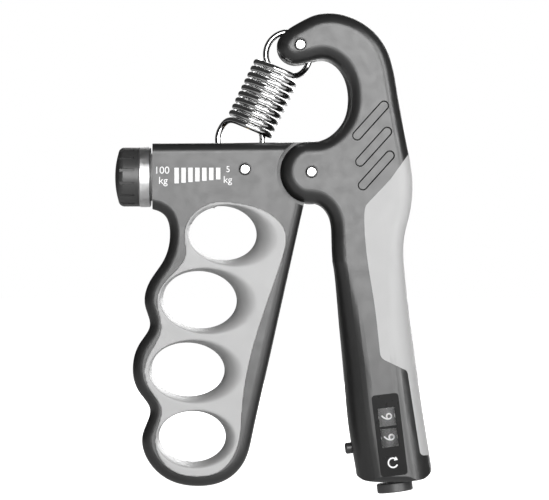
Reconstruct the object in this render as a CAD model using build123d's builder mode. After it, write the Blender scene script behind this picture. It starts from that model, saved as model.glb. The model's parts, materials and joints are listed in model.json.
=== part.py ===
"""Adjustable hand grip strengthener: two handles on a pivot pin, an extension spring whose lower
end is moved by a lead screw and knob, and a mechanical squeeze counter in the palm handle.

Millimetres. +X towards the palm, +Z up the handles, the front faces -Y.
The origin is on the palm handle's outer side, half way up the palm pad, in the middle of its width.
Side outlines are drawn from the pivot axis: x towards the palm, y up.
"""
import os
from math import cos, hypot, radians, sin

from build123d import *

os.makedirs("parts", exist_ok=True)

# ------------------------------------------------------------------ driving dimensions
PIVOT_X = -31.7
PIVOT_Z = 39.4
HALF = 12.0                 # half the width of both handles, along Y

PALM_ROUND = 4.6            # rounding of the palm handle's long edges
GRIP_TOP = -30.0            # below this the palm grip's section grows rounder
GRIP_ROUND = 9.0
END_Y = -103.5              # the palm handle's lower end, from the pivot
FINGER_ROUND = 3.4

BOSS_R = 10.4               # palm handle's fork round the pivot
RECESS_R = 11.5             # hollow in the finger handle's faces that clears the fork
FORK_HALF = 6.0             # half the gap between the fork's cheeks
TONGUE_HALF = 5.5
TONGUE_R = 10.1
SLOT_R = 11.8

PIN_HEAD_R = 2.0
PIN_HEAD_T = 0.9
PIN_HEAD_ROUND = 0.8
HEAD_POCKET_R = 2.3
HEAD_SINK = 0.25            # how far a pin head lies below the face
PIVOT_PIN_R = 1.9
BUSH_R = 3.2
FIT = 0.05                  # radial clearance of the running fits

HOOK_PIN = (-3.7, 42.5)
HOOK_PIN_R = 1.4
HOOK_SLOT_HALF = 1.6

SPRING_R = 7.5              # mean radius of the coil and of its end loops
WIRE_R = 1.0
COIL_TOP = (-10.7, 35.8)
COIL_BOTTOM = (-21.3, 13.8)
UPPER_LOOP = (-7.7, 39.7)
LOWER_LOOP = (-23.8, 11.1)

SCREW_Y = -1.5              # height of the lead screw's axis
SCREW_R = 3.0
SCREW_CORE_R = 2.5
SCREW_PITCH = 2.0
JOURNAL_R = 2.4
BOX_LEFT = -53.0
BOX_SPARE = 5.0                 # cut off the box after its long edges are rounded
CAVITY_LEFT = -50.4
CAVITY_RIGHT = -24.4
CAVITY_HALF = 9.2
SLIDER_PIN = (-25.7, 6.6)
RETAINING_PIN = (-22.2, 0.9)
RETAINING_PIN_R = 1.4

KNOB_R = 9.9
KNOB_LEFT = -65.8
KNOB_RIGHT = -57.6
KNOB_GROOVES = 14
COLLAR_R = 10.1
COLLAR_RIGHT = -53.8

COUNTER_END = (27.8, -103.3)    # where the counter's axis leaves the palm handle
COUNTER_TILT = 7.0              # degrees from +Z
COUNTER_DEPTH = -2.0            # the axis' place along Y
HOUSING_R = 8.5
DRUM_R = 7.1
UNITS_AT = 14.9                 # middles of the two digit wheels, up the counter's axis
TENS_AT = 21.9
DRUM_WIDTH = 6.6
RATCHET_T = 1.6
SHAFT_R = 1.5
RESET_KNOB_R = 6.0
PANEL_SINK = 1.2
PLUNGER_AT = 12.5
PLUNGER_R = 1.9
PLUNGER_SURFACE = -12.1         # where the handle's inner face is, out from the counter's axis
PLUNGER_PROUD = 2.9
PLATE_OUTER = -10.9             # the plunger's carrier plate inside the handle
PLATE_T = 0.8
PLATE_LOW = 4.8                 # ends of the plate along the counter's axis
PLATE_HIGH = 14.3
RETURN_SPRING_AT = 6.6
SPRING_POST_OUT = -4.4
PINION_OFFSET = 9.3             # from the wheels' axis to the carry pinion's
PINION_PIN_R = 0.6
KEY_WIDTH = 6.0                 # rib at the back of the counter, and how far back it reaches
KEY_REACH = 11.6

REST_LENGTH = 13.4              # slanted recesses on the shoulder, between their ends' centres
REST_WIDTH = 3.4
REST_DEPTH = 0.7
REST_TAPER = 32

SKIN = 1.8                      # thickness of the soft palm pad
CORE_CHAMFER = 4.2              # of the rigid core's long edges under that pad
WEB_HALF = 2.5                  # half thickness of the rigid web inside the finger pad


# ------------------------------------------------------------------ planes
def side(depth=0.0, at=(0.0, 0.0)):
    """A plane facing the front, with its origin at a point given from the pivot."""
    return Plane(
        origin=(PIVOT_X + at[0], depth, PIVOT_Z + at[1]), x_dir=(1, 0, 0), z_dir=(0, -1, 0)
    )


def across(x, y=SCREW_Y):
    """A plane square to the lead screw, facing +X."""
    return Plane(origin=(PIVOT_X + x, 0, PIVOT_Z + y), x_dir=(0, 1, 0), z_dir=(1, 0, 0))


UP_X = -sin(radians(COUNTER_TILT))
UP_Z = cos(radians(COUNTER_TILT))


def counter_point(along, out=0.0, depth=COUNTER_DEPTH):
    """A point of the part's frame, up the counter's axis and out towards the palm."""
    x = PIVOT_X + COUNTER_END[0] + along * UP_X + out * UP_Z
    z = PIVOT_Z + COUNTER_END[1] + along * UP_Z - out * UP_X
    return (x, depth, z)


def counter_plane(along, depth=COUNTER_DEPTH):
    """A plane square to the counter's axis; its x runs towards the palm, its y to the back."""
    return Plane(
        origin=counter_point(along, 0, depth), x_dir=(UP_Z, 0, -UP_X), z_dir=(UP_X, 0, UP_Z)
    )


def counter_face(depth):
    """A plane facing the front whose y runs up the counter's axis."""
    return Plane(
        origin=counter_point(0, 0, depth), x_dir=(UP_Z, 0, -UP_X), z_dir=(0, -1, 0)
    )


def plunger_plane(out):
    """A plane square to the plunger, facing the palm."""
    return Plane(
        origin=counter_point(PLUNGER_AT, out, 0), x_dir=(0, 1, 0), z_dir=(UP_Z, 0, -UP_X)
    )


COIL_LENGTH = hypot(COIL_TOP[0] - COIL_BOTTOM[0], COIL_TOP[1] - COIL_BOTTOM[1])


def coil_plane(share):
    """A plane square to the spring's axis, from its top (0) to its bottom (1), facing down."""
    x = COIL_TOP[0] + share * (COIL_BOTTOM[0] - COIL_TOP[0])
    y = COIL_TOP[1] + share * (COIL_BOTTOM[1] - COIL_TOP[1])
    down = (COIL_BOTTOM[0] - COIL_TOP[0], 0, COIL_BOTTOM[1] - COIL_TOP[1])
    return Plane(origin=(PIVOT_X + x, 0, PIVOT_Z + y), x_dir=(0, 1, 0), z_dir=down)


def rounded_edges(part, radius):
    """The edges of the part's two outermost flat side faces, rounded."""
    faces = part.faces().filter_by(Axis.Y).sort_by(Axis.Y)
    fillet(faces[0].edges() + faces[-1].edges(), radius)


def headed_pin(at, radius):
    """A pin through both handles' faces with a formed head at each end."""
    with BuildPart() as pin:
        with BuildSketch(side(0, at)):
            Circle(radius)
        extrude(amount=HALF - HEAD_SINK - PIN_HEAD_T, both=True)
        for plane in (
            side(-HALF + HEAD_SINK + PIN_HEAD_T, at),
            Plane(side(HALF - HEAD_SINK - PIN_HEAD_T, at).origin, x_dir=(1, 0, 0), z_dir=(0, 1, 0)),
        ):
            with BuildSketch(plane):
                Circle(PIN_HEAD_R)
            extrude(amount=PIN_HEAD_T)
        ends = pin.faces().filter_by(Axis.Y).sort_by(Axis.Y)
        fillet(ends[0].edges() + ends[-1].edges(), PIN_HEAD_ROUND)
    return pin


def pin_space(at, radius):
    """The bore and the two head pockets that a headed pin needs, as one solid to cut away."""
    with BuildPart() as space:
        with BuildSketch(side(0, at)):
            Circle(radius)
        extrude(amount=HALF + 1, both=True)
        for depth, sense in ((-HALF, -1), (HALF, 1)):
            with BuildSketch(side(depth, at)):
                Circle(HEAD_POCKET_R)
            extrude(amount=sense * (HEAD_SINK + PIN_HEAD_T + 0.05))
    return space.part


def write(part, name):
    """Labels a finished piece and writes its STEP file."""
    part.part.label = name
    export_step(part.part, f"parts/{name}.step")


# ------------------------------------------------------------------ outlines, from the pivot
PALM_OUTER = [
    (41.4, -106.5),
    (39.4, -93.0),
    (36.0, -70.5),
    (32.4, -44.3),
    (30.8, -28.0),
    (31.1, -21.5),
    (32.5, -15.5),
    (33.8, -7.0),
    (33.5, 0.5),
    (31.8, 10.5),
    (28.7, 27.4),
    (26.8, 37.0),
    (23.6, 44.0),
    (18.6, 49.0),
    (12.7, 52.0),
    (6.4, 53.2),
    (0.8, 52.3),
    (-4.0, 50.0),
    (-8.2, 47.4),
]
HOOK_END = (-5.6, 42.1)         # middle and radius of the hook's rounded end
HOOK_END_R = 5.9
ARCH = [
    (0.2, 37.2),
    (4.4, 37.8),
    (8.8, 35.4),
    (11.7, 30.4),
    (12.5, 24.6),
    (11.2, 18.0),
    (7.4, 12.9),
    (3.0, 10.5),
]
PALM_INNER = [
    (2.0, -10.7),
    (5.6, -14.2),
    (6.9, -22.4),
    (9.9, -56.4),
    (12.2, -82.4),
    (13.4, -89.5),
    (14.3, -97.0),
    (15.3, -106.5),
]
# the palm grip's sections below its top: height, inner and outer side, rounding
GRIP_SECTIONS = [
    (-44.3, 8.83, 32.4, 6.6),
    (-58.0, 10.03, 34.25, 8.4),
    (-72.0, 11.27, 36.2, GRIP_ROUND),
    (-84.0, 12.4, 38.0, GRIP_ROUND),
    (-93.0, 13.8, 39.4, GRIP_ROUND),
    (-107.0, 15.4, 41.5, GRIP_ROUND),
]

FINGER_EDGE = [
    (BOX_LEFT - BOX_SPARE, -11.9),
    (BOX_LEFT, -12.4),
    (-49.2, -14.2),
    (-47.2, -21.3),
    (-49.4, -29.6),
    (-54.0, -36.6),
    (-55.5, -44.6),
    (-53.9, -51.2),
    (-57.2, -57.0),
    (-59.6, -65.5),
    (-57.6, -73.2),
    (-53.9, -79.0),
    (-56.3, -87.5),
    (-54.4, -96.4),
    (-47.6, -102.7),
    (-38.0, -104.8),
    (-28.6, -102.8),
    (-22.6, -97.0),
    (-19.7, -87.8),
    (-15.4, -68.6),
    (-9.1, -40.4),
    (-2.4, -10.4),
]

FINGER_PAD_EDGE = [
    (-29.3, -9.9),
    (-19.5, -11.5),
    (-12.4, -15.0),
    (-8.7, -20.0),
    (-9.6, -28.3),
    (-17.4, -51.5),
    (-21.4, -66.6),
    (-23.2, -80.0),
    (-24.8, -92.0),
    (-30.3, -99.6),
    (-38.6, -101.5),
    (-47.3, -98.9),
    (-51.9, -91.3),
    (-51.1, -84.5),
    (-50.0, -79.3),
    (-54.0, -72.3),
    (-55.6, -65.3),
    (-52.6, -58.2),
    (-50.2, -52.6),
    (-51.5, -42.5),
    (-46.4, -34.0),
    (-42.1, -28.0),
    (-42.4, -20.5),
    (-37.8, -12.6),
]

# finger openings: centre and half sizes at mid width, then the same at the faces, and the tilt
OPENINGS = [
    ((-29.6, -20.3), (11.3, 9.0), (-26.9, -20.9), (13.8, 9.6), -8),
    ((-37.4, -42.7), (12.4, 9.6), (-34.9, -42.9), (15.2, 10.0), -4),
    ((-41.4, -66.1), (12.3, 9.0), (-39.2, -66.6), (15.0, 9.6), -2),
    ((-39.9, -88.6), (11.2, 8.6), (-38.9, -89.0), (12.4, 9.4), 0),
]


def round_stretch(middle, radius, start, end, count):
    """Points along an arc of a smooth outline, at angles from +X."""
    turns = [radians(start + (end - start) * k / (count - 1)) for k in range(count)]
    return [(middle[0] + radius * cos(t), middle[1] + radius * sin(t)) for t in turns]


def palm_outline():
    """The palm handle: up its outer side, round the hook, the arch and the fork, down its inner side."""
    hook = round_stretch(HOOK_END, HOOK_END_R, 172, 262, 3)
    fork = round_stretch((0, 0), BOSS_R, 105, 255, 6)
    with BuildLine() as outline:
        edge = Spline(*PALM_OUTER, *hook, *ARCH, *fork, *PALM_INNER)
        Line(edge @ 1, edge @ 0)
    return outline


def finger_outline():
    """The finger handle: down its waved side and up to the round tongue, then back along the box."""
    with BuildLine() as outline:
        edge = Spline(*FINGER_EDGE)
        tongue = ThreePointArc(edge @ 1, (TONGUE_R, 0.0), (-1.2, 10.03))
        top = Line(tongue @ 1, (BOX_LEFT - BOX_SPARE, 9.5))
        Line(top @ 1, edge @ 0)
    return outline


def pad_outline():
    """The edge of the soft pad round the four finger openings."""
    with BuildLine() as outline:
        Spline(*FINGER_PAD_EDGE, periodic=True)
    return outline


# ------------------------------------------------------------------ palm handle
with BuildPart() as palm_blank:
    with BuildSketch(side()):
        add(palm_outline().line)
        make_face()
    extrude(amount=HALF, both=True)
    rounded_edges(palm_blank, PALM_ROUND)
    # the grip, as a loft from the upper part's cut end through rounder sections
    with BuildSketch(Plane.XY.offset(PIVOT_Z + GRIP_TOP)):
        Rectangle(200, 60)
    extrude(amount=-90, mode=Mode.SUBTRACT)
    add(palm_blank.faces().sort_by(Axis.Z)[0])
    for height, inner, outer, rounding in GRIP_SECTIONS:
        with BuildSketch(Plane.XY.offset(PIVOT_Z + height)):
            with Locations((PIVOT_X + (inner + outer) / 2, 0)):
                RectangleRounded(outer - inner, 2 * HALF, rounding)
    loft()
    # the grip's lower end: rounded corners seen from the front, then seen from the palm's side
    with BuildSketch(side()):
        with BuildLine():
            near = ThreePointArc((14.1, -97.0), (15.1, -101.2), (18.2, -103.0))
            middle = ThreePointArc(near @ 1, (27.3, -103.6), (36.4, -102.6))
            far = ThreePointArc(middle @ 1, (39.5, -100.9), (40.6, -97.0))
            Polyline(far @ 1, (46, -97.0), (46, -112), (8, -112), (8, -97.0), near @ 0)
        make_face()
    extrude(amount=HALF + 1, both=True, mode=Mode.SUBTRACT)
    with BuildSketch(across(8, 0)):
        with Locations((0, END_Y - 5)):
            Rectangle(4 * HALF, 10)
        for sense in (-1, 1):
            with BuildLine():
                corner = ThreePointArc(
                    (sense * (HALF + 0.1), END_Y + 2.8), (sense * (HALF - 0.8), END_Y + 0.8),
                    (sense * (HALF - 2.8), END_Y),
                )
                Polyline(corner @ 1, (sense * (HALF + 2), END_Y), (sense * (HALF + 2), END_Y + 2.8),
                         corner @ 0)
            make_face()
    extrude(amount=40, mode=Mode.SUBTRACT)

with BuildPart() as pad_zone:
    with BuildSketch(side()) as pad_shape:
        with BuildLine():
            slope = Polyline((48, 27.5), (32.4, 6.0), (26.2, -2.6), (18.6, -10.6))
            edge = Spline(
                slope @ 1, (17.6, -15.4), (20.4, -40.3), (23.0, -62.0), tangents=[(-0.7, -0.8), (0.1, -1)]
            )
            Polyline(edge @ 1, (32.0, -66.3), (36.4, -94.6), (48, -94.6), (48, 27.5))
        make_face()
        for corner, rounding in (((23.0, -62.0), 3.0), ((32.0, -66.3), 2.0), ((36.4, -94.6), 1.6)):
            fillet(pad_shape.vertices().sort_by_distance(corner)[0], rounding)
    extrude(amount=HALF + 1, both=True)

with BuildPart() as pad_core:
    with BuildSketch(side()):
        with BuildLine():
            inner_skin = Spline(*[(x - SKIN, y) for x, y in PALM_OUTER[:11]])
            Polyline(inner_skin @ 1, (8, 27.4), (8, -106.5), inner_skin @ 0)
        make_face()
    extrude(amount=HALF - SKIN, both=True)
    chamfer(pad_core.edges().filter_by(Axis.Y, reverse=True).group_by(Axis.Y)[0], CORE_CHAMFER)
    chamfer(pad_core.edges().filter_by(Axis.Y, reverse=True).group_by(Axis.Y)[-1], CORE_CHAMFER)

pivot_space = pin_space((0, 0), PIVOT_PIN_R)
hook_pin_space = pin_space(HOOK_PIN, HOOK_PIN_R + FIT)
retaining_pin_space = pin_space(RETAINING_PIN, RETAINING_PIN_R)

with BuildPart() as palm_pad:
    add(palm_blank.part)
    add(pad_zone.part, mode=Mode.INTERSECT)
    add(pad_core.part, mode=Mode.SUBTRACT)

with BuildPart() as palm_handle:
    add(palm_blank.part)
    add(palm_pad.part, mode=Mode.SUBTRACT)
    # the gap between the fork's cheeks
    with BuildSketch(side()):
        Circle(SLOT_R)
    extrude(amount=FORK_HALF, both=True, mode=Mode.SUBTRACT)
    # the slot in the hook's end for the spring's upper loop
    with BuildSketch(side(0, (-8.6, 39.4))):
        Circle(10.6)
    extrude(amount=HOOK_SLOT_HALF, both=True, mode=Mode.SUBTRACT)
    add(pivot_space, mode=Mode.SUBTRACT)
    add(hook_pin_space, mode=Mode.SUBTRACT)
    # three slanted finger-rest recesses on each face of the shoulder
    for depth, sense in ((-HALF, -1), (HALF, 1)):
        for middle in ((19.7, 17.1), (20.7, 8.4), (21.6, 0.5)):
            with BuildSketch(side(depth, middle)):
                SlotCenterToCenter(REST_LENGTH, REST_WIDTH, rotation=48)
            extrude(amount=sense * REST_DEPTH, taper=REST_TAPER, mode=Mode.SUBTRACT)
    # the counter's bore, and its window panel's pocket and openings
    with BuildSketch(counter_plane(-4)):
        Circle(HOUSING_R)
        with Locations((0, KEY_REACH / 2)):
            Rectangle(KEY_WIDTH, KEY_REACH)
    extrude(amount=31.7, mode=Mode.SUBTRACT)
    with BuildSketch(counter_face(-HALF)):
        with Locations((0.15, 15.8)):
            RectangleRounded(9.0, 27.4, 1.2)
    extrude(amount=-PANEL_SINK, mode=Mode.SUBTRACT)
    with BuildSketch(counter_face(-HALF + PANEL_SINK)):
        with Locations((0, UNITS_AT), (0, TENS_AT)):
            Rectangle(6.4, 6.6)
    extrude(amount=-3, mode=Mode.SUBTRACT)
    with BuildSketch(plunger_plane(-20)):
        Circle(PLUNGER_R + 0.1)
    extrude(amount=12.5, mode=Mode.SUBTRACT)
    with BuildSketch(plunger_plane(PLATE_OUTER - 0.1)):
        with Locations((1.2, (PLATE_LOW + PLATE_HIGH) / 2 - PLUNGER_AT)):
            Rectangle(7.8, PLATE_HIGH - PLATE_LOW + 0.6)
    extrude(amount=6.5, mode=Mode.SUBTRACT)
write(palm_pad, "palm_pad")
write(palm_handle, "palm_handle")

pivot_pin = headed_pin((0, 0), PIVOT_PIN_R)
write(pivot_pin, "pivot_pin")

hook_pin = headed_pin(HOOK_PIN, HOOK_PIN_R)
write(hook_pin, "hook_pin")

# ------------------------------------------------------------------ finger handle
with BuildPart() as finger_blank:
    with BuildSketch(side()):
        add(finger_outline().line)
        make_face()
    extrude(amount=HALF, both=True)
    rounded_edges(finger_blank, FINGER_ROUND)
    with BuildSketch(across(BOX_LEFT)):
        Rectangle(60, 60)
    extrude(amount=-BOX_SPARE - 1, mode=Mode.SUBTRACT)

with BuildPart() as finger_pad_zone:
    with BuildSketch(side()):
        add(pad_outline().line)
        make_face()
    extrude(amount=HALF + 1, both=True)
    with BuildSketch(side()):
        add(pad_outline().line)
        make_face()
        for middle, half_sizes, _, _, tilt in OPENINGS:
            with Locations(middle):
                Ellipse(half_sizes[0] + 1.0, half_sizes[1] + 0.9, rotation=tilt, mode=Mode.SUBTRACT)
    extrude(amount=WEB_HALF, both=True, mode=Mode.SUBTRACT)


def opening_halves(middle, half_sizes, face_middle, face_sizes, tilt):
    """One finger opening as two solids to cut away, each widening from mid width past one face."""
    halves = []
    for sense in (-1, 1):
        with BuildPart() as flare:
            for share in (0.0, 1.05):
                centre = [a + (b - a) * share for a, b in zip(middle, face_middle)]
                sizes = [a + (b - a) * share for a, b in zip(half_sizes, face_sizes)]
                with BuildSketch(side(sense * HALF * share, centre)):
                    Ellipse(*sizes, rotation=tilt)
            loft()
        halves.append(flare.part)
    return halves


with BuildPart() as finger_pad:
    add(finger_blank.part)
    add(finger_pad_zone.part, mode=Mode.INTERSECT)
    for opening in OPENINGS:
        for cutter in opening_halves(*opening):
            add(cutter, mode=Mode.SUBTRACT)

with BuildPart() as finger_handle:
    add(finger_blank.part)
    add(finger_pad_zone.part, mode=Mode.SUBTRACT)
    # round hollows that clear the palm handle's fork
    for depth, sense in ((-TONGUE_HALF, 1), (TONGUE_HALF, -1)):
        with BuildSketch(side(depth)):
            Circle(RECESS_R)
        extrude(amount=sense * (HALF + 1), mode=Mode.SUBTRACT)
    with BuildSketch(side()):
        Circle(BUSH_R)
    extrude(amount=TONGUE_HALF + 1, both=True, mode=Mode.SUBTRACT)
    # the well that the spring dips into, open at the top, and the slider's track below it
    with BuildSketch(side()):
        with BuildLine():
            Polyline(
                (CAVITY_LEFT, 12), (CAVITY_LEFT, -5.8), (CAVITY_RIGHT, -5.8), (CAVITY_RIGHT, 2.4),
                (-15.4, 2.4), (-12.3, 7.0), (-12.3, 12), close=True,
            )
        make_face()
    extrude(amount=CAVITY_HALF, both=True, mode=Mode.SUBTRACT)
    # the lead screw's bearings at both ends of the track
    with BuildSketch(across(BOX_LEFT - 1)):
        Circle(SCREW_R + FIT)
    extrude(amount=6, mode=Mode.SUBTRACT)
    with BuildSketch(across(CAVITY_RIGHT - 1)):
        Circle(JOURNAL_R + FIT)
    extrude(amount=7.6, mode=Mode.SUBTRACT)
    add(retaining_pin_space, mode=Mode.SUBTRACT)
write(finger_pad, "finger_pad")
write(finger_handle, "finger_handle")

with BuildPart() as pivot_bush:
    with BuildSketch(side()):
        Circle(BUSH_R)
        Circle(PIVOT_PIN_R + FIT, mode=Mode.SUBTRACT)
    extrude(amount=TONGUE_HALF, both=True)
write(pivot_bush, "pivot_bush")

with BuildPart() as pivot_washers:
    for depth in (-TONGUE_HALF, FORK_HALF - 0.08):
        with BuildSketch(side(depth)):
            Circle(6.0)
            Circle(PIVOT_PIN_R + 0.06, mode=Mode.SUBTRACT)
        extrude(amount=FORK_HALF - TONGUE_HALF - 0.08)
write(pivot_washers, "pivot_washers")

screw_retaining_pin = headed_pin(RETAINING_PIN, RETAINING_PIN_R)
write(screw_retaining_pin, "screw_retaining_pin")

# ------------------------------------------------------------------ tension adjuster
with BuildPart() as lead_screw:
    # revolved half section: knob end, bearing, thread with its grooves, retained journal
    with BuildSketch(side(0, (0, SCREW_Y))):
        with BuildLine():
            points = [(-62.0, 0), (-62.0, SCREW_R), (CAVITY_LEFT + 1, SCREW_R)]
            turns = int((CAVITY_RIGHT - CAVITY_LEFT - 4) / SCREW_PITCH)
            for turn in range(turns):
                start = CAVITY_LEFT + 1.4 + turn * SCREW_PITCH
                points += [
                    (start, SCREW_R), (start + 0.5, SCREW_CORE_R),
                    (start + 1.1, SCREW_CORE_R), (start + 1.6, SCREW_R),
                ]
            points += [(CAVITY_RIGHT - 0.3, SCREW_R), (CAVITY_RIGHT - 0.3, JOURNAL_R)]
            groove = RETAINING_PIN[0]
            core = RETAINING_PIN[1] - SCREW_Y - RETAINING_PIN_R - FIT
            points += [
                (groove - 1.5, JOURNAL_R), (groove - 1.5, core), (groove + 1.5, core),
                (groove + 1.5, JOURNAL_R), (-18.0, JOURNAL_R), (-18.0, 0),
            ]
            Polyline(*points, close=True)
        make_face()
    revolve(axis=Axis((PIVOT_X, 0, PIVOT_Z + SCREW_Y), (1, 0, 0)))
write(lead_screw, "lead_screw")

with BuildPart() as adjuster_knob:
    with BuildSketch(side(0, (0, SCREW_Y))):
        with BuildLine():
            dome = ThreePointArc((KNOB_LEFT, 0), (KNOB_LEFT + 0.3, 4.4), (KNOB_LEFT + 1.1, 8.0))
            shoulder = ThreePointArc(dome @ 1, (KNOB_LEFT + 1.6, 9.2), (KNOB_LEFT + 2.9, KNOB_R))
            Polyline(shoulder @ 1, (KNOB_RIGHT, KNOB_R), (KNOB_RIGHT, 0), dome @ 0)
        make_face()
    revolve(axis=Axis((PIVOT_X, 0, PIVOT_Z + SCREW_Y), (1, 0, 0)))
    with BuildSketch(across(-62.0)):
        Circle(SCREW_R)
    extrude(amount=6, mode=Mode.SUBTRACT)
    # round-ended finger grooves, open at the outer end
    with BuildPart(mode=Mode.PRIVATE) as groove_cutter:
        with BuildSketch(side(-KNOB_R - 1, (0, SCREW_Y))):
            with Locations((-62.8, 0)):
                SlotOverall(7.4, 1.0)
        extrude(amount=-1.55)
    for number in range(KNOB_GROOVES):
        turned = groove_cutter.part.rotate(
            Axis((PIVOT_X, 0, PIVOT_Z + SCREW_Y), (1, 0, 0)), (number + 0.5) * 360 / KNOB_GROOVES
        )
        add(turned, mode=Mode.SUBTRACT)
write(adjuster_knob, "adjuster_knob")

with BuildPart() as knob_collar:
    with BuildSketch(across(KNOB_RIGHT)):
        Circle(COLLAR_R)
        Circle(SCREW_R, mode=Mode.SUBTRACT)
    extrude(amount=COLLAR_RIGHT - KNOB_RIGHT)
    rims = knob_collar.edges().filter_by(GeomType.CIRCLE).sort_by(SortBy.RADIUS)[-2:]
    chamfer(rims, 0.3)
write(knob_collar, "knob_collar")

with BuildPart() as thrust_washer:
    with BuildSketch(across(COLLAR_RIGHT)):
        Circle(8.0)
        Circle(SCREW_R, mode=Mode.SUBTRACT)
    extrude(amount=BOX_LEFT - COLLAR_RIGHT - 0.05)
write(thrust_washer, "thrust_washer")

with BuildPart() as slider_nut:
    with BuildSketch(side()):
        with Locations((-28.2, SCREW_Y - 0.25)):
            Rectangle(6.8, 7.9)
    extrude(amount=CAVITY_HALF - FIT, both=True)
    # the two ears that hold the spring's pin
    with BuildSketch(side()):
        with Locations(SLIDER_PIN):
            Circle(2.7)
        with BuildLine():
            Polyline(
                (SLIDER_PIN[0] - 2.7, SLIDER_PIN[1]), (SLIDER_PIN[0] + 2.7, SLIDER_PIN[1]),
                (CAVITY_RIGHT - 0.4, 2.6), (CAVITY_RIGHT - 0.4, 0), (SLIDER_PIN[0] - 4.4, 0),
                close=True,
            )
        make_face()
    extrude(amount=4.6, both=True)
    with BuildSketch(side()):
        with Locations((SLIDER_PIN[0], 7.0)):
            Rectangle(14, 10.0)
    extrude(amount=1.5, both=True, mode=Mode.SUBTRACT)
    with BuildSketch(across(-34)):
        Circle(SCREW_R + FIT)
    extrude(amount=12, mode=Mode.SUBTRACT)
    with BuildSketch(side(0, SLIDER_PIN)):
        Circle(HOOK_PIN_R)
    extrude(amount=6, both=True, mode=Mode.SUBTRACT)
write(slider_nut, "slider_nut")

with BuildPart() as slider_pin:
    with BuildSketch(side(0, SLIDER_PIN)):
        Circle(HOOK_PIN_R)
    extrude(amount=4.6, both=True)
write(slider_pin, "slider_pin")

# ------------------------------------------------------------------ extension spring
def spring_piece(start, end, loop_at=None):
    """A stretch of the close-wound coil as a tube, with its end loop as a ring."""
    with BuildPart() as piece:
        with BuildSketch(coil_plane(start)):
            Circle(SPRING_R + WIRE_R)
            Circle(SPRING_R - WIRE_R, mode=Mode.SUBTRACT)
        extrude(amount=(end - start) * COIL_LENGTH)
        if loop_at:
            with BuildSketch(Plane(origin=(PIVOT_X + loop_at[0] + SPRING_R, 0, PIVOT_Z + loop_at[1]))):
                Circle(WIRE_R)
            revolve(axis=Axis((PIVOT_X + loop_at[0], 0, PIVOT_Z + loop_at[1]), (0, 1, 0)))
    return piece


write(spring_piece(0.0, 0.2, UPPER_LOOP), "spring_upper_hook")
write(spring_piece(0.2, 0.8), "spring_coil")
write(spring_piece(0.8, 1.0, LOWER_LOOP), "spring_lower_hook")

# ------------------------------------------------------------------ squeeze counter
with BuildPart() as counter_housing:
    with BuildSketch(counter_plane(0.8)):
        Circle(HOUSING_R)
        with Locations((0, KEY_REACH / 2)):
            Rectangle(KEY_WIDTH, KEY_REACH)
    extrude(amount=26.9)
    with BuildSketch(counter_plane(2.2)):
        Circle(DRUM_R + 0.5)
    extrude(amount=24.1, mode=Mode.SUBTRACT)
    with BuildSketch(counter_plane(0)):
        Circle(SHAFT_R + FIT)
    extrude(amount=30, mode=Mode.SUBTRACT)
    # window side, plunger side, and the bay of the carry pinion at the back
    with BuildSketch(counter_face(-HALF)):
        with Locations((0, 14.4)):
            Rectangle(7.0, 23.0)
    extrude(amount=-7, mode=Mode.SUBTRACT)
    with BuildSketch(plunger_plane(-12)):
        with Locations((1.2, (PLATE_LOW + PLATE_HIGH) / 2 - PLUNGER_AT)):
            Rectangle(7.8, PLATE_HIGH - PLATE_LOW + 0.6)
    extrude(amount=9, mode=Mode.SUBTRACT)
    with BuildSketch(counter_plane(UNITS_AT)):
        with Locations((0, 8.8)):
            Rectangle(4.4, 6.0)
    extrude(amount=TENS_AT - UNITS_AT + 1.6, mode=Mode.SUBTRACT)
    with BuildSketch(counter_plane(UNITS_AT - 2, COUNTER_DEPTH + PINION_OFFSET)):
        Circle(PINION_PIN_R)
    extrude(amount=12, mode=Mode.SUBTRACT)
    # the post that the plunger's return spring pushes against
    with BuildSketch(counter_plane(2.0)):
        with Locations((SPRING_POST_OUT + 0.9, 1.4)):
            Rectangle(1.8, 6.4)
    extrude(amount=6.8)
write(counter_housing, "counter_housing")

with BuildPart() as counter_end_cap:
    with BuildSketch(counter_plane(-0.3)):
        Circle(HOUSING_R)
        with Locations((0, KEY_REACH / 2)):
            Rectangle(KEY_WIDTH, KEY_REACH)
        Circle(SHAFT_R + FIT, mode=Mode.SUBTRACT)
    extrude(amount=1.1)
    add(palm_blank.part, mode=Mode.INTERSECT)
write(counter_end_cap, "counter_end_cap")

with BuildPart() as counter_panel:
    with BuildSketch(counter_face(-HALF + PANEL_SINK)):
        with Locations((0.15, 15.8)):
            RectangleRounded(9.0, 27.4, 1.2)
    extrude(amount=PANEL_SINK)
    with BuildSketch(counter_face(-HALF)):
        with Locations((0, UNITS_AT), (0, TENS_AT)):
            Rectangle(5.5, 6.1)
    extrude(amount=-PANEL_SINK, mode=Mode.SUBTRACT)
    with BuildSketch(counter_face(-HALF + PANEL_SINK)):
        with Locations((0, (UNITS_AT + TENS_AT) / 2)):
            Rectangle(6.4, 13.9)
    extrude(amount=0.6, mode=Mode.SUBTRACT)
write(counter_panel, "counter_panel")

with BuildPart() as counter_window:
    with BuildSketch(counter_face(-HALF + PANEL_SINK)):
        with Locations((0, (UNITS_AT + TENS_AT) / 2)):
            Rectangle(6.4, 13.9)
    extrude(amount=0.6)
write(counter_window, "counter_window")


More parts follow.
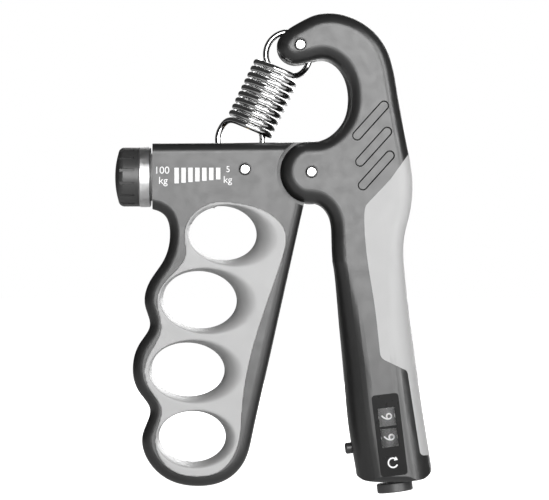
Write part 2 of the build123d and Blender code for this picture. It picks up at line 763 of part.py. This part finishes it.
def digit_wheel(middle, ratchet):
    """A drum for ten digits that turns on the reset shaft, with a ratchet disc below if asked."""
    with BuildPart() as wheel:
        with BuildSketch(counter_plane(middle - DRUM_WIDTH / 2)):
            Circle(DRUM_R)
        extrude(amount=DRUM_WIDTH)
        if ratchet:
            with BuildSketch(counter_plane(middle - DRUM_WIDTH / 2 - RATCHET_T)):
                Circle(4.9)
                with PolarLocations(5.0, 10):
                    Rectangle(1.5, 1.6)
            extrude(amount=RATCHET_T)
        with BuildSketch(counter_plane(middle - DRUM_WIDTH)):
            Circle(SHAFT_R + FIT)
        extrude(amount=2 * DRUM_WIDTH, mode=Mode.SUBTRACT)
    return wheel


write(digit_wheel(UNITS_AT, True), "units_wheel")
write(digit_wheel(TENS_AT, False), "tens_wheel")

with BuildPart() as carry_pinion:
    with BuildSketch(counter_plane(UNITS_AT + 1.5, COUNTER_DEPTH + PINION_OFFSET)):
        Circle(1.5)
        with PolarLocations(1.45, 8):
            Rectangle(0.8, 0.6)
        Circle(PINION_PIN_R + FIT, mode=Mode.SUBTRACT)
    extrude(amount=TENS_AT - UNITS_AT - 1.5)
write(carry_pinion, "carry_pinion")

with BuildPart() as carry_shaft:
    with BuildSketch(counter_plane(UNITS_AT - 1.6, COUNTER_DEPTH + PINION_OFFSET)):
        Circle(PINION_PIN_R)
    extrude(amount=11.2)
write(carry_shaft, "carry_shaft")

with BuildPart() as detent_spring:
    # a leaf lying along the palm side of both wheels
    with BuildSketch(counter_plane(UNITS_AT - 3)):
        with Locations((DRUM_R + 0.25, 0)):
            Rectangle(0.25, 2.2)
    extrude(amount=13.0)
write(detent_spring, "detent_spring")

with BuildPart() as reset_shaft:
    with BuildSketch(counter_plane(-2.6)):
        Circle(SHAFT_R)
    extrude(amount=29.6)
write(reset_shaft, "reset_shaft")

with BuildPart() as reset_knob:
    with BuildSketch(counter_plane(-3.7)):
        Circle(RESET_KNOB_R)
    extrude(amount=3.2)
    chamfer(reset_knob.edges().filter_by(GeomType.CIRCLE), 0.35)
    with BuildSketch(counter_plane(-2.6)):
        Circle(SHAFT_R)
    extrude(amount=4, mode=Mode.SUBTRACT)
write(reset_knob, "reset_knob")

with BuildPart() as counter_plunger:
    with BuildSketch(plunger_plane(PLUNGER_SURFACE - PLUNGER_PROUD)):
        Circle(PLUNGER_R)
    extrude(amount=PLATE_OUTER - PLUNGER_SURFACE + PLUNGER_PROUD)
    fillet(counter_plunger.edges().filter_by(GeomType.CIRCLE).sort_by(Axis.X)[0], 0.8)
    with BuildSketch(plunger_plane(PLATE_OUTER)):
        with Locations((1.2, (PLATE_LOW + PLATE_HIGH) / 2 - PLUNGER_AT)):
            Rectangle(7.2, PLATE_HIGH - PLATE_LOW)
    extrude(amount=PLATE_T)
write(counter_plunger, "counter_plunger")

with BuildPart() as feed_pawl:
    # an arm beside the ratchet disc, with its nose just clear of the teeth
    with BuildSketch(plunger_plane(PLATE_OUTER + PLATE_T)):
        with Locations((4.4, UNITS_AT - DRUM_WIDTH / 2 - RATCHET_T / 2 - PLUNGER_AT)):
            Rectangle(0.6, 1.2)
    extrude(amount=8.0)
write(feed_pawl, "feed_pawl")

with BuildPart() as plunger_spring:
    with BuildSketch(plunger_plane(PLATE_OUTER + PLATE_T)):
        with Locations((0, RETURN_SPRING_AT - PLUNGER_AT)):
            Circle(1.5)
            Circle(1.0, mode=Mode.SUBTRACT)
    extrude(amount=SPRING_POST_OUT - PLATE_OUTER - PLATE_T)
write(plunger_spring, "plunger_spring")
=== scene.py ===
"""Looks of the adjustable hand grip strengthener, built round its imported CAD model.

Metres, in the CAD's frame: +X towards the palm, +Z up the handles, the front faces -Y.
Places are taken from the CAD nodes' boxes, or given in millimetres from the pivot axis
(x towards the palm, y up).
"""
import json
from math import cos, pi, radians, sin

import bpy
import numpy as np
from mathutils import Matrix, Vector


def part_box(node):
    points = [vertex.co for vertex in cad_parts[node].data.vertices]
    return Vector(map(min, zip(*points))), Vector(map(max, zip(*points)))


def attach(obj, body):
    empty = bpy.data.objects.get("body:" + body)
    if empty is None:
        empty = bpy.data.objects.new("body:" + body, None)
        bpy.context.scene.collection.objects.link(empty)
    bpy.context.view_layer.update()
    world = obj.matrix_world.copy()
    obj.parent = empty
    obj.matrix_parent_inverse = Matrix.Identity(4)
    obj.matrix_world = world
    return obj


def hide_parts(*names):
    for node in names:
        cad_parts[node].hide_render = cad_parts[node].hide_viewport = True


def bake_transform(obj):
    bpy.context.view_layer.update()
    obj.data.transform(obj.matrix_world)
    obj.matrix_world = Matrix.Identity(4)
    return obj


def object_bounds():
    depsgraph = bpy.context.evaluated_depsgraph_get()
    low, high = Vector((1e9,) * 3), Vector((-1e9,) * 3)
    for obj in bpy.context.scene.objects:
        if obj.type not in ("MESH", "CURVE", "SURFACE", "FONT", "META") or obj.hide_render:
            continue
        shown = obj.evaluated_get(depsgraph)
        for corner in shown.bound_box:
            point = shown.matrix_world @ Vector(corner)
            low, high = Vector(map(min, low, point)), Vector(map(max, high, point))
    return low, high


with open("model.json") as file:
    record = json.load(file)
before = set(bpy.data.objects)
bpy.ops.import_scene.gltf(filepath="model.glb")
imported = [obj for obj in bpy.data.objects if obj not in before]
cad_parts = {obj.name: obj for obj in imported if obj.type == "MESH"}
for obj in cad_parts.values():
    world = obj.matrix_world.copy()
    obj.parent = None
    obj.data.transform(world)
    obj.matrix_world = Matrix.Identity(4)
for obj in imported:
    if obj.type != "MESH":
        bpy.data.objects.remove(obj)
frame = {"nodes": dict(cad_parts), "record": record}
cad_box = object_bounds()
nodes = frame["nodes"]

MM = 0.001


def middle(node):
    """The middle of a CAD node's box."""
    low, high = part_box(node)
    return (low + high) / 2


PIVOT = middle("pivot_pin")
FACE_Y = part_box("palm_handle")[0].y          # the flat front faces of both handles


def at(x, y, depth=0.0):
    """A point given in millimetres from the pivot axis; depth runs from mid width to the back."""
    return Vector((PIVOT.x + x * MM, depth * MM, PIVOT.z + y * MM))


# ------------------------------------------------------------------ materials
def material(name, colour, roughness, metallic=0.0, coat=0.0, coat_roughness=0.1):
    """A new principled material. Returns it with its node tree and shader."""
    made = bpy.data.materials.new(name)
    made.use_nodes = True
    shader = made.node_tree.nodes["Principled BSDF"]
    shader.inputs["Base Color"].default_value = (*colour, 1)
    shader.inputs["Roughness"].default_value = roughness
    shader.inputs["Metallic"].default_value = metallic
    shader.inputs["Coat Weight"].default_value = coat
    shader.inputs["Coat Roughness"].default_value = coat_roughness
    return made, made.node_tree, shader


def noise(tree, scale, detail=2.0, stretch=None):
    """A noise texture in object space, at so many cells to the metre, drawn out along one axis if asked."""
    place = tree.nodes.new("ShaderNodeTexCoord")
    texture = tree.nodes.new("ShaderNodeTexNoise")
    texture.inputs["Scale"].default_value = scale
    texture.inputs["Detail"].default_value = detail
    source = place.outputs["Object"]
    if stretch:
        mapping = tree.nodes.new("ShaderNodeMapping")
        mapping.inputs["Scale"].default_value = stretch
        tree.links.new(source, mapping.inputs["Vector"])
        source = mapping.outputs["Vector"]
    tree.links.new(source, texture.inputs["Vector"])
    return texture.outputs["Fac"]


def spread(tree, source, low, high, from_low=0.35, from_high=0.65):
    """A noise value spread over a range."""
    remap = tree.nodes.new("ShaderNodeMapRange")
    for socket, value in zip(
        ("From Min", "From Max", "To Min", "To Max"), (from_low, from_high, low, high)
    ):
        remap.inputs[socket].default_value = value
    tree.links.new(source, remap.inputs["Value"])
    return remap.outputs["Result"]


def bump(tree, shader, source, height, strength=1.0):
    """Adds a bump of the given height in metres, on top of any there is."""
    node = tree.nodes.new("ShaderNodeBump")
    node.inputs["Distance"].default_value = height
    node.inputs["Strength"].default_value = strength
    tree.links.new(source, node.inputs["Height"])
    if shader.inputs["Normal"].is_linked:
        tree.links.new(shader.inputs["Normal"].links[0].from_socket, node.inputs["Normal"])
    tree.links.new(node.outputs["Normal"], shader.inputs["Normal"])


def tint(tree, shader, source, dark, light):
    """The base colour between two shades, by a noise value."""
    ramp = tree.nodes.new("ShaderNodeValToRGB")
    ramp.color_ramp.elements[0].position = 0.3
    ramp.color_ramp.elements[0].color = (*dark, 1)
    ramp.color_ramp.elements[1].position = 0.7
    ramp.color_ramp.elements[1].color = (*light, 1)
    tree.links.new(source, ramp.inputs["Fac"])
    tree.links.new(ramp.outputs["Color"], shader.inputs["Base Color"])


def grey(value):
    """A neutral colour."""
    return (value, value, value)


def moulded_plastic(
    name, shade, roughness, grain=2200.0, height=0.00001, variation=0.08, specular=0.5
):
    """Injection-moulded plastic: fine spark-eroded grain, cloudy gloss and a slight tone variation."""
    made, tree, shader = material(name, grey(shade), roughness)
    shader.inputs["Specular IOR Level"].default_value = specular
    tint(tree, shader, noise(tree, 90), grey(shade * (1 - variation)), grey(shade * (1 + variation)))
    tree.links.new(
        spread(tree, noise(tree, 260, 4), roughness * 0.9, roughness * 1.1), shader.inputs["Roughness"]
    )
    bump(tree, shader, noise(tree, grain, 3), height)
    return made


def polished_metal(name, shade, roughness, stretch=None):
    """Plated or turned steel: faint wiping marks in its gloss."""
    made, tree, shader = material(name, grey(shade), roughness, metallic=1.0)
    tree.links.new(
        spread(tree, noise(tree, 500, 3, stretch), roughness * 0.85, roughness * 1.2),
        shader.inputs["Roughness"],
    )
    bump(tree, shader, noise(tree, 900, 2, stretch), 0.0000006)
    return made


def turned_brass(name):
    """Plain turned brass."""
    made, tree, shader = material(name, (0.62, 0.44, 0.18), 0.3, metallic=1.0)
    tint(tree, shader, noise(tree, 400), (0.56, 0.39, 0.15), (0.66, 0.48, 0.21))
    bump(tree, shader, noise(tree, 3000, 2), 0.000003)
    return made


def clear_plastic(name):
    """The counter's clear window."""
    made, tree, shader = material(name, grey(0.98), 0.03)
    shader.inputs["Transmission Weight"].default_value = 1.0
    shader.inputs["IOR"].default_value = 1.45
    return made


def white_print(name):
    """Opaque white pad-printing ink, slightly uneven."""
    made, tree, shader = material(name, grey(0.86), 0.5)
    tint(tree, shader, noise(tree, 1500, 4), grey(0.8), grey(0.9))
    return made


BODY = moulded_plastic("body_plastic", 0.018, 0.32, height=0.000004, variation=0.03, specular=0.8)
SOFT = moulded_plastic("soft_pad", 0.42, 0.5, grain=3200, height=0.000012, variation=0.02)
KNOB = moulded_plastic("knob_plastic", 0.04, 0.38, height=0.000004, specular=0.8)
ACETAL = moulded_plastic("acetal", 0.5, 0.4)
GLOSS_BLACK = moulded_plastic("counter_black", 0.006, 0.3, height=0.000002, specular=0.12)
DIGIT_WHEEL = moulded_plastic("digit_wheel", 0.03, 0.45)
CHROME = polished_metal("chrome", 0.82, 0.12)
STEEL = polished_metal("steel", 0.55, 0.3)
SATIN_CHROME = polished_metal("satin_chrome", 0.9, 0.42)
BRASS = turned_brass("brass")
CLEAR = clear_plastic("clear_window")
PRINT = white_print("white_print")

BY_SLOT = {
    "body_plastic": BODY,
    "soft_pad": SOFT,
    "knob_plastic": KNOB,
    "acetal": ACETAL,
    "counter_black": GLOSS_BLACK,
    "digit_wheel": DIGIT_WHEEL,
    "chrome": CHROME,
    "steel": STEEL,
    "brass": BRASS,
    "clear_window": CLEAR,
}

for row in frame["record"]["subparts"]:
    shown = nodes[row["node"]]
    shown.data.materials.clear()
    shown.data.materials.append(BY_SLOT[row["material_slot"]])


nodes["knob_collar"].data.materials[0] = SATIN_CHROME


def soften(node, width):
    """Rounds a CAD node's sharp edges a little, which leaves a fine groove where it meets its neighbour."""
    shown = nodes[node]
    weld = shown.modifiers.new("weld", "WELD")
    weld.merge_threshold = 0.000002
    bevel = shown.modifiers.new("bevel", "BEVEL")
    bevel.width = width
    bevel.segments = 2
    bevel.limit_method = "ANGLE"
    bevel.angle_limit = radians(50)
    bevel.harden_normals = True


soften("palm_pad", 0.0002)


# ------------------------------------------------------------------ mesh helpers
def mesh_piece(name, points, faces, made, body, slot):
    """A smooth-shaded mesh object of the given faces, riding on a body."""
    mesh = bpy.data.meshes.new(name)
    mesh.from_pydata([tuple(p) for p in points], [], faces)
    mesh.update()
    mesh.shade_smooth()
    mesh.materials.append(made)
    piece = bpy.data.objects.new(name, mesh)
    bpy.context.scene.collection.objects.link(piece)
    if body:
        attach(piece, body)
    return piece


def tube(path, radius, sides=14):
    """A round wire along a path with domed ends, as points and faces."""
    points, faces = [], []
    across = Vector((0, 1, 0))
    last = len(path) - 1
    rings = []
    for number, place in enumerate(path):
        ahead = (path[min(number + 1, last)] - path[max(number - 1, 0)]).normalized()
        across = (across - across.dot(ahead) * ahead).normalized()
        rings.append((place, ahead, across, ahead.cross(across)))
    domes = [(0.0, 0.35), (0.35, 0.8), (0.7, 0.96)]
    full = [
        (rings[0][0] + rings[0][1] * radius * (shift - 0.9), *rings[0][1:], share)
        for shift, share in domes
    ]
    full += [(*ring, 1.0) for ring in rings]
    full += [
        (rings[-1][0] - rings[-1][1] * radius * (shift - 0.9), *rings[-1][1:], share)
        for shift, share in reversed(domes)
    ]
    for place, _, side_a, side_b, share in full:
        for step in range(sides):
            turn = 2 * pi * step / sides
            points.append(place + radius * share * (cos(turn) * side_a + sin(turn) * side_b))
    for ring in range(len(full) - 1):
        for step in range(sides):
            after = (step + 1) % sides
            low, high = ring * sides, (ring + 1) * sides
            faces.append((low + step, low + after, high + after, high + step))
    faces.append(tuple(reversed(range(sides))))
    faces.append(tuple(range((len(full) - 1) * sides, len(full) * sides)))
    return points, faces


# ------------------------------------------------------------------ extension spring
SPRING_R = 7.5          # mean radius of the coil and of its end loops
WIRE_R = 1.0
COIL_TOP = Vector((-10.7, 35.8))
COIL_BOTTOM = Vector((-21.3, 13.8))
UPPER_LOOP = Vector((-7.7, 39.7))
LOWER_LOOP = Vector((-23.8, 11.1))
COIL_TURNS = 9.5
COIL_STEPS = 44         # path points to a turn
UPPER_LOOP_DEGREES = range(206, -34, -6)    # from the free end round to the bend into the coil
LOWER_LOOP_DEGREES = range(150, 392, 6)     # from the bend out of the coil round to the free end
BEND_TURNS = 0.14       # turns of coil given up to each bend
BEND_PULL = 9.0 * MM    # how strongly the wire's directions carry into a bend
BEND_STEPS = 14

DOWN = (COIL_BOTTOM - COIL_TOP).normalized()
RIGHT = Vector((-DOWN.y, DOWN.x))           # square to the coil's axis, towards the palm


def coil_place(turns):
    """A point on the coil's wire so many turns from its start at the top right, going to the front."""
    length = (COIL_BOTTOM - COIL_TOP).length - 2 * WIRE_R
    centre = COIL_TOP + DOWN * (WIRE_R + length * turns / COIL_TURNS)
    turn = 2 * pi * turns
    flat = centre + RIGHT * (SPRING_R * cos(turn))
    return at(flat.x, flat.y, -SPRING_R * sin(turn))


def loop_place(centre, degrees):
    """A point on an end loop, which lies in the handles' mid plane."""
    turn = radians(degrees)
    return at(centre.x + SPRING_R * cos(turn), centre.y + SPRING_R * sin(turn))


def joined(start, start_pull, end, end_pull, count):
    """Points of a smooth curve between two points with given pulls, without its ends."""
    made = []
    for number in range(1, count):
        t = number / count
        made.append(
            start * (2 * t**3 - 3 * t**2 + 1)
            + start_pull * (t**3 - 2 * t**2 + t)
            + end * (3 * t**2 - 2 * t**3)
            + end_pull * (t**3 - t**2)
        )
    return made


def wire_path():
    """The spring's wire: free end, upper loop, coil, lower loop, free end."""
    upper = [loop_place(UPPER_LOOP, degrees) for degrees in UPPER_LOOP_DEGREES]
    lower = [loop_place(LOWER_LOOP, degrees) for degrees in LOWER_LOOP_DEGREES]
    turns = COIL_TURNS - 2 * BEND_TURNS
    count = int(turns * COIL_STEPS)
    coil = [coil_place(BEND_TURNS + turns * n / count) for n in range(count + 1)]
    into_coil = joined(
        upper[-1], (upper[-1] - upper[-2]).normalized() * BEND_PULL,
        coil[0], (coil[1] - coil[0]).normalized() * BEND_PULL, BEND_STEPS,
    )
    out_of_coil = joined(
        coil[-1], (coil[-1] - coil[-2]).normalized() * BEND_PULL,
        lower[0], (lower[1] - lower[0]).normalized() * BEND_PULL, BEND_STEPS,
    )
    return upper + into_coil + coil + out_of_coil + lower, len(upper + into_coil) + count // 2


wire, wire_middle = wire_path()
coil_mid = (COIL_TOP + COIL_BOTTOM) / 2
for name, part, bodies, ends, stands_for in (
    ("spring_upper_half", wire[: wire_middle + 1], ("spring_top", "spring_middle"),
     (COIL_TOP, coil_mid), ("spring_upper_hook", "spring_coil")),
    ("spring_lower_half", wire[wire_middle:], ("spring_middle", "spring_bottom"),
     (coil_mid, COIL_BOTTOM), ("spring_lower_hook",)),
):
    half = mesh_piece(name, *tube(part, WIRE_R * MM), CHROME, None, "chrome")
    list(bodies)
    at(*ends[0])
    at(*ends[1])
    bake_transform(half)
    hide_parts(*stands_for)


# ------------------------------------------------------------------ finger pad
HALF = 12.0             # half the handles' width, in millimetres
# finger openings: middle and half sizes at mid width, the same where the flare meets the face, and the tilt
OPENINGS = [
    ((-29.6, -20.3), (11.3, 9.0), (-26.2, -21.3), (15.4, 10.4), -8),
    ((-37.4, -42.7), (12.4, 9.6), (-34.3, -43.0), (16.4, 11.2), -4),
    ((-41.4, -66.1), (12.3, 9.0), (-38.4, -66.5), (15.9, 10.8), -2),
    ((-39.9, -88.6), (11.2, 8.6), (-38.3, -89.0), (13.4, 9.8), 0),
]


SKIN_LEVEL = 0.12       # how far the hidden side of the soft cover stays below its surface
FACE_BAND = 0.35        # how near to a face a point counts as on it, in millimetres
FACES_OPENING = 0.12    # how much a wall has to face an opening to be its flare
PAD_VOXEL = 0.45 * MM


def flare_share(flat, opening):
    """How far points lie across an opening's flare: 0 at its narrowest, 1 where it meets the face."""
    narrow, narrow_half, wide, wide_half, tilt = [np.array(value, float) for value in opening]
    turn = radians(float(tilt))
    axes = np.array([[cos(turn), sin(turn)], [-sin(turn), cos(turn)]])
    low, high = np.full(len(flat), -0.6), np.full(len(flat), 2.0)
    for _ in range(28):
        share = (low + high) / 2
        centre = narrow + share[:, None] * (wide - narrow)
        half = narrow_half + share[:, None] * (wide_half - narrow_half)
        outside = (((flat - centre) @ axes.T / half) ** 2).sum(1) > 1
        low, high = np.where(outside, share, low), np.where(outside, high, share)
    return (low + high) / 2


def pad_surface(points):
    """Above 0 outside the pad, below 0 inside: rounded flares from each opening out to both faces."""
    deep = np.abs(points[:, 2]) / HALF
    level = deep**2 - 1
    for opening in OPENINGS:
        across = np.minimum(flare_share(points[:, :2], opening), 1)
        level = np.maximum(level, deep**2 + (1 - across) ** 2 - 1)
    return level


def onto_surface(points, sunk=0.0, steps=6, nudge=0.02):
    """Points moved along the surface function's slope until they lie on it, or sunk below it."""
    for _ in range(steps):
        level = pad_surface(points) + sunk
        slope = np.stack(
            [(pad_surface(points + nudge * np.eye(3)[axis]) + sunk - level) / nudge for axis in range(3)],
            1,
        )
        move = -level / np.maximum((slope**2).sum(1), 1e-4)
        points = points + slope * np.clip(move, -30, 30)[:, None]
    return points


def remeshed(node, name, voxel):
    """An even, all-quad copy of a CAD node's mesh, as a new object."""
    piece = bpy.data.objects.new(name, nodes[node].data.copy())
    bpy.context.scene.collection.objects.link(piece)
    even = piece.modifiers.new("even", "REMESH")
    even.mode = "VOXEL"
    even.voxel_size = voxel
    depsgraph = bpy.context.evaluated_depsgraph_get()
    mesh = bpy.data.meshes.new_from_object(piece.evaluated_get(depsgraph))
    piece.modifiers.clear()
    piece.data = mesh
    mesh.name = name
    return piece


def sculpt_finger_pad():
    """The soft cover of the finger openings, with flares that round over into both faces."""
    piece = remeshed("finger_pad", "finger_pad_soft", PAD_VOXEL)
    mesh = piece.data
    place = np.array([v.co for v in mesh.vertices], float)
    flat = np.stack(
        [(place[:, 0] - PIVOT.x) / MM, (place[:, 2] - PIVOT.z) / MM, place[:, 1] / MM], 1
    )
    facing = np.array([(v.normal.x, v.normal.z) for v in mesh.vertices], float)
    # the outside that shows: the faces, and the walls that face the middle of an opening
    shown = np.abs(flat[:, 2]) > HALF - FACE_BAND
    for opening in OPENINGS:
        inwards = np.array(opening[0]) - flat[:, :2]
        inwards /= np.linalg.norm(inwards, axis=1)[:, None]
        shown |= (flare_share(flat[:, :2], opening) < 1) & ((facing * inwards).sum(1) > FACES_OPENING)
    moved = flat.copy()
    moved[shown] = onto_surface(flat[shown])
    hidden = ~shown & (pad_surface(flat) > -SKIN_LEVEL)
    moved[hidden] = onto_surface(flat[hidden], SKIN_LEVEL)
    moved[:, 2] = np.clip(moved[:, 2], -HALF, HALF)
    place = np.stack([moved[:, 0] * MM + PIVOT.x, moved[:, 2] * MM, moved[:, 1] * MM + PIVOT.z], 1)
    mesh.vertices.foreach_set("co", place.astype(np.float32).ravel())
    mesh.update()
    mesh.shade_smooth()
    mesh.materials.clear()
    mesh.materials.append(SOFT)
    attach(piece, "finger_handle")
    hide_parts("finger_pad")


sculpt_finger_pad()


# ------------------------------------------------------------------ prints
INK = 0.03              # thickness of the printed ink, in millimetres
COUNTER_TILT = radians(7)
ALONG = Vector((-sin(COUNTER_TILT), 0, cos(COUNTER_TILT)))      # up the counter's axis
OUT = Vector((cos(COUNTER_TILT), 0, sin(COUNTER_TILT)))         # across it, towards the palm
DRUM_R = 7.1 * MM
WINDOW_STEP = 7.0 * MM          # from one digit wheel to the next
ARROW_BELOW = 9.3 * MM          # from the panel's middle down to the reset arrow


def prisms(name, outlines, placed, made, body, slot):
    """Thin solids over flat outlines in millimetres; placed turns x, y and -1 or 1 ink into a point."""
    points, faces = [], []
    for outline in outlines:
        first, count = len(points), len(outline)
        points += [placed(x, y, level) for level in (-1, 1) for x, y in outline]
        faces.append(tuple(first + n for n in reversed(range(count))))
        faces.append(tuple(first + count + n for n in range(count)))
        for n in range(count):
            after = (n + 1) % count
            faces.append((first + n, first + after, first + count + after, first + count + n))
    piece = mesh_piece(name, points, faces, made, body, slot)
    piece.data.shade_flat()
    return piece


def lettering(words, height):
    """A text's mesh, that many millimetres high, centred, as points in millimetres and faces."""
    curve = bpy.data.curves.new(words, "FONT")
    curve.body = words
    curve.extrude = 1.0
    curve.resolution_u = 6
    holder = bpy.data.objects.new(words, curve)
    mesh = bpy.data.meshes.new_from_object(holder)
    bpy.data.objects.remove(holder)
    flat = np.array([v.co for v in mesh.vertices], float)
    low, high = flat.min(0), flat.max(0)
    scale = height / (high[1] - low[1])
    flat[:, :2] = (flat[:, :2] - (low[:2] + high[:2]) / 2) * scale
    faces = [tuple(polygon.vertices) for polygon in mesh.polygons]
    bpy.data.meshes.remove(mesh)
    return flat, faces


def printed_text(name, words, height, placed, made, body, slot):
    """A printed text; placed turns x, y and -1 or 1 ink into a point."""
    flat, faces = lettering(words, height)
    piece = mesh_piece(name, [placed(*p) for p in flat], faces, made, body, slot)
    piece.data.shade_flat()
    return piece


def on_face(x, y):
    """A placing on the front faces, from a point in millimetres from the pivot."""

    def placed(a, b, level):
        return Vector((PIVOT.x + (x + a) * MM, FACE_Y - level * INK * MM, PIVOT.z + (y + b) * MM))

    return placed


SCALE_BARS = 7
BAR_STEP = 2.31
BAR_HALF = 0.72
BAR_TOP = 1.4
BAR_LOW = -3.8          # the first bar's lower end
BAR_RISE = 1.3          # how much higher the last bar's lower end is
bars = []
for number in range(SCALE_BARS):
    left = number * BAR_STEP - BAR_HALF
    right = left + 2 * BAR_HALF
    low = BAR_LOW + BAR_RISE * number / (SCALE_BARS - 1)
    bars.append([(left, low), (right, low), (right, BAR_TOP), (left, BAR_TOP)])
prisms("tension_scale", bars, on_face(-44.9, 0), PRINT, "finger_handle", "soft_pad")
for name, words, height, x, y in (
    ("scale_high", "100", 2.4, -49.5, 0.6),
    ("scale_high_unit", "kg", 3.1, -49.3, -3.2),
    ("scale_low", "5", 2.0, -27.8, 0.9),
    ("scale_low_unit", "kg", 3.0, -27.8, -2.9),
):
    printed_text(name, words, height, on_face(x, y), PRINT, "finger_handle", "soft_pad")

PANEL = middle("counter_panel")
DIGIT_HEIGHT = 3.7


def on_drum(along, degrees):
    """A placing on a digit wheel: a digit's top points the way that the wheel's front moves."""
    axis = middle("tens_wheel")
    axis = axis + ALONG * (along * WINDOW_STEP)

    def placed(a, b, level):
        turn = radians(degrees) + b * MM / DRUM_R
        radius = DRUM_R + level * INK * MM
        return axis - ALONG * (a * MM) + OUT * (radius * sin(turn)) - Vector((0, radius * cos(turn), 0))

    return placed


for wheel, along in (("tens_wheel", 0), ("units_wheel", -1)):
    for digit in range(10):
        printed_text(
            f"{wheel}_digit_{digit}", str(digit), DIGIT_HEIGHT, on_drum(along, (digit - 9) * -36),
            PRINT, wheel, "digit_wheel",
        )

ARROW_R = 1.55
ARROW_HALF = 0.24
HEAD_HALF = 0.75
HEAD_LENGTH = 1.1
ARROW_TURNS = [radians(60 + 9 * step) for step in range(31)]
ring = [((ARROW_R + ARROW_HALF) * cos(t), (ARROW_R + ARROW_HALF) * sin(t)) for t in ARROW_TURNS]
ring += [((ARROW_R - ARROW_HALF) * cos(t), (ARROW_R - ARROW_HALF) * sin(t)) for t in reversed(ARROW_TURNS)]
tip = ARROW_TURNS[0]
head = [
    ((ARROW_R + HEAD_HALF) * cos(tip), (ARROW_R + HEAD_HALF) * sin(tip)),
    ((ARROW_R - HEAD_HALF) * cos(tip), (ARROW_R - HEAD_HALF) * sin(tip)),
    (ARROW_R * cos(tip) + HEAD_LENGTH * sin(tip), ARROW_R * sin(tip) - HEAD_LENGTH * cos(tip)),
]


def on_panel(a, b, level):
    """A point on the counter's panel, below its windows."""
    place = PANEL - ALONG * ARROW_BELOW + OUT * (a * MM) + ALONG * (b * MM)
    return Vector((place.x, FACE_Y - level * INK * MM, place.z))


prisms("reset_arrow", [ring, head], on_panel, PRINT, "palm_handle", "counter_black")


# ------------------------------------------------------------------ camera, lights and floor
FRAME_WIDTH = 0.1845
FRAME_CENTRE = Vector((-0.0440, 0.0, 0.0134))

camera_data = bpy.data.cameras.new("camera")
camera_data.lens = 250
camera_data.sensor_width = 36
camera = bpy.data.objects.new("camera", camera_data)
camera.location = FRAME_CENTRE - Vector((0, FRAME_WIDTH * camera_data.lens / camera_data.sensor_width, 0))
camera.rotation_euler = (pi / 2, 0, 0)
bpy.context.scene.collection.objects.link(camera)
bpy.context.scene.camera = camera


def soft_light(name, place, size, power):
    """A rectangular soft light that faces the middle of the object."""
    data = bpy.data.lights.new(name, "AREA")
    data.shape = "RECTANGLE"
    data.size, data.size_y = size
    data.energy = power
    light = bpy.data.objects.new(name, data)
    light.location = place
    light.visible_camera = False
    light.rotation_euler = (FRAME_CENTRE - Vector(place)).to_track_quat("-Z", "Y").to_euler()
    bpy.context.scene.collection.objects.link(light)


soft_light("front", (0.1, -1.3, 0.25), (0.8, 0.9), 16)
soft_light("strip", (0.6, -0.7, 0.15), (0.3, 0.9), 6)
soft_light("back", (0.35, 1.2, 0.4), (0.9, 0.9), 12)

world = bpy.data.worlds.new("studio")
bpy.context.scene.world = world
world.use_nodes = True
tree = world.node_tree
seen = tree.nodes.new("ShaderNodeBackground")
seen.inputs["Color"].default_value = (1, 1, 1, 1)
seen.inputs["Strength"].default_value = 1.0
lit = tree.nodes["Background"]
lit.inputs["Color"].default_value = (1, 1, 1, 1)
lit.inputs["Strength"].default_value = 0.04
chooser = tree.nodes.new("ShaderNodeMixShader")
path = tree.nodes.new("ShaderNodeLightPath")
tree.links.new(path.outputs["Is Camera Ray"], chooser.inputs["Fac"])
tree.links.new(lit.outputs["Background"], chooser.inputs[1])
tree.links.new(seen.outputs["Background"], chooser.inputs[2])
tree.links.new(chooser.outputs["Shader"], tree.nodes["World Output"].inputs["Surface"])

bpy.context.scene.view_settings.view_transform = "Standard"

SWING_ROOM = 0.012      # the squeezed finger handle dips below the palm handle
FLOOR_GLOW = 0.75       # the floor is as pale as the studio behind it, and still takes soft shadows

floor_mesh = bpy.data.meshes.new("floor")
reach = 6.0
ground = cad_box[0].z - SWING_ROOM
floor_mesh.from_pydata(
    [(x, y, ground) for x, y in ((-reach, -reach), (reach, -reach), (reach, reach), (-reach, reach))],
    [], [(0, 1, 2, 3)],
)
floor = bpy.data.objects.new("floor", floor_mesh)
bpy.context.scene.collection.objects.link(floor)
floor_material, floor_tree, floor_shader = material("floor", grey(0.8), 0.7)
glow = floor_tree.nodes.new("ShaderNodeEmission")
both = floor_tree.nodes.new("ShaderNodeAddShader")
seen_by = floor_tree.nodes.new("ShaderNodeLightPath")
place = floor_tree.nodes.new("ShaderNodeTexCoord")
distance = floor_tree.nodes.new("ShaderNodeVectorMath")
distance.operation = "LENGTH"
floor_tree.links.new(place.outputs["Object"], distance.inputs[0])
glow_level = floor_tree.nodes.new("ShaderNodeMath")
glow_level.operation = "MULTIPLY"
floor_tree.links.new(seen_by.outputs["Is Camera Ray"], glow_level.inputs[0])
floor_tree.links.new(
    spread(floor_tree, distance.outputs["Value"], FLOOR_GLOW, 1.0, 0.25, 0.9), glow_level.inputs[1]
)
floor_tree.links.new(glow_level.outputs[0], glow.inputs["Strength"])
floor_tree.links.new(floor_shader.outputs["BSDF"], both.inputs[0])
floor_tree.links.new(glow.outputs["Emission"], both.inputs[1])
floor_tree.links.new(both.outputs["Shader"], floor_tree.nodes["Material Output"].inputs["Surface"])
floor_mesh.materials.append(floor_material)
